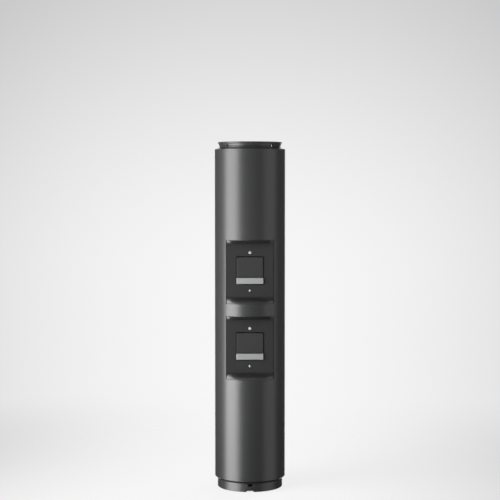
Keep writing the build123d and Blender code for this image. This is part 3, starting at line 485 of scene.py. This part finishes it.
def make_room():
    world = bpy.data.worlds.new("room")
    world.use_nodes = True
    tree = world.node_tree
    tree.nodes.clear()
    wires = Wire(tree)
    shown = seen_or_mirrored(wires)
    direction = wires.node("ShaderNodeTexCoord", output="Generated")
    rise = wires.node("ShaderNodeSeparateXYZ", {}, {"Vector": direction}, output="Z")
    aside = wires.node("ShaderNodeSeparateXYZ", {}, {"Vector": direction}, output="X")
    side = wires.math("MINIMUM", aside * aside * side_loss, most_side_loss)
    pale = (room_tone - rise.between(*ceiling_rise) * ceiling_loss) * (1 - side)
    level = shown * pale + (1 - shown) * ambient
    background = wires.node("ShaderNodeBackground", {}, {"Color": grey(1.0), "Strength": level})
    wires.node("ShaderNodeOutputWorld", {}, {"Surface": background})
    bpy.context.scene.world = world


make_room()
print("room tone", room_tone, "ambient light", ambient)

# %% [markdown]
# The paper is a round sheet that fades into the room at its edge, so no seam shows from any side. Its
# diffuse part catches the post's soft shadow, and a share of shown paleness lifts it to the room's
# tone. The lift stops under the post, where no room light reaches, so the holes in the foot look dark.

# %% The paper's finish
paper_radius = 1.9
paper_core = 0.45
paper_albedo = 0.10
paper_tone = 0.79
paper_side_loss = 0.33
under_post = (0.070, 0.084)


def paper_finish():
    material, wires = new_finish("paper")
    place = object_place(wires)
    away = wires.node("ShaderNodeVectorMath", {"operation": "LENGTH"}, {0: place}, output="Value")
    aside = object_axis(wires, "X")
    side = wires.math("MINIMUM", aside * aside * paper_side_loss, most_side_loss)
    pale = (paper_tone - side) * away.between(*under_post)
    shown = seen_or_mirrored(wires)
    paper = wires.node("ShaderNodeBsdfDiffuse", {}, {"Color": grey(paper_albedo), "Roughness": 0.0})
    lift = wires.node("ShaderNodeEmission", {}, {"Color": grey(1.0), "Strength": shown * pale})
    both = wires.node("ShaderNodeAddShader", {}, {0: paper, 1: lift})
    clear = wires.node("ShaderNodeBsdfTransparent")
    edge = away.between(paper_core, paper_radius)
    mixed = wires.node("ShaderNodeMixShader", {}, {0: edge, 1: both, 2: clear})
    wires.node("ShaderNodeOutputMaterial", {}, {"Surface": mixed})
    return material


# %% [markdown]
# The sheet itself is one flat disc at the post's foot. Gloss doesn't see it, which keeps its paleness
# off the column.

# %% Paper floor
def stage_object(name, mesh, material):
    """Turns a bmesh into a piece of scenery."""
    data = bpy.data.meshes.new(name)
    mesh.to_mesh(data)
    mesh.free()
    data.materials.append(material)
    made = bpy.data.objects.new(name, data)
    bpy.context.scene.collection.objects.link(made)
    return made


sheet = bmesh.new()
bmesh.ops.create_circle(sheet, cap_ends=True, segments=96, radius=paper_radius)
floor = stage_object("paper_floor", sheet, paper_finish())
floor.visible_glossy = False
print("paper", round(floor.dimensions.x, 2), "m across")

# %% [markdown]
# A dark drape hangs round the set, out of the picture, so that the column's satin skin mirrors a dark
# room with tall soft lights in it. Those mirrored lights are the long highlights that make the column
# read as round. The drape is closed, with a floor and a ceiling, and is seen only in gloss: the camera
# and the lamps' light pass through it, so it darkens nothing but reflections.

# %% Dark drape
drape_radius = 4.4
drape_height = 8.0
drape_middle = 2.0
drape_tone = 0.05


def drape_cloth():
    material, wires = new_finish("drape_cloth")
    cloth = wires.node("ShaderNodeEmission", {}, {"Color": grey(1.0), "Strength": drape_tone})
    wires.node("ShaderNodeOutputMaterial", {}, {"Surface": cloth})
    return material


tube = bmesh.new()
bmesh.ops.create_cone(tube, cap_ends=True, segments=64, radius1=drape_radius, radius2=drape_radius,
                      depth=drape_height)
drape = stage_object("drape", tube, drape_cloth())
drape.location.z = drape_middle
drape.visible_camera = False
drape.visible_diffuse = False
drape.visible_shadow = False
drape.visible_transmission = False
print("drape", round(drape.dimensions.x, 2), "m across")

# %% [markdown]
# ## Lights
# A tall key softbox stands to the left and a little forward, close to the post, and gives both the long
# highlight and the broad light on the panels. A small low one in front of it keeps the highlight bright
# down to the foot. A weak card on the right keeps that side from going black, and a softbox behind the
# post draws its far side for whoever walks round it.

# %% Softboxes
def softbox(name, angle, distance, width, height, middle, radiance):
    """A rectangular light that faces the post's axis, at an angle in degrees from -Y towards +X."""
    light = bpy.data.lights.new(name, "AREA")
    light.shape = "RECTANGLE"
    light.size = width
    light.size_y = height
    light.energy = radiance * math.pi * width * height
    lamp = bpy.data.objects.new(name, light)
    turn = math.radians(angle)
    lamp.location = (distance * math.sin(turn), -distance * math.cos(turn), middle)
    lamp.rotation_euler = (math.pi / 2, 0, turn)
    lamp.visible_camera = False
    bpy.context.scene.collection.objects.link(lamp)
    print(name, "power", round(light.energy, 1))
    return lamp


softbox("key_softbox", angle=-61.0, distance=1.5, width=1.28, height=3.7, middle=0.05, radiance=8.7)
softbox("low_softbox", angle=-59.0, distance=1.1, width=0.95, height=0.5, middle=0.22, radiance=2.4)
softbox("right_card", angle=68.0, distance=1.9, width=1.6, height=4.2, middle=0.40, radiance=1.1)
softbox("back_softbox", angle=178.0, distance=1.9, width=1.3, height=3.4, middle=0.60, radiance=2.0)

# %% [markdown]
# A front fill and a rear fill light the coat evenly. They are hidden from gloss, or they would draw
# highlights of their own. A weak softbox hangs above and in front of the post, turned down onto its top,
# and shows the necks and the tops of the ledges.

# %% Fills and overhead light
front_fill = softbox("front_fill", angle=8.0, distance=3.2, width=1.6, height=3.0, middle=0.10, radiance=2.0)
rear_fill = softbox("rear_fill", angle=136.0, distance=2.0, width=1.4, height=3.4, middle=0.50, radiance=4.0)
for fill in (front_fill, rear_fill):
    fill.visible_glossy = False

overhead_tilt = math.radians(24.0)
overhead = softbox("top_softbox", angle=0.0, distance=0.9, width=1.4, height=1.0, middle=2.6, radiance=0.4)
overhead.rotation_euler = (overhead_tilt, 0, 0)

# %% [markdown]
# ## Closing update
# The view layer is brought up to date once every piece, light and piece of scenery is in place.

# %% Update the view layer
bpy.context.view_layer.update()
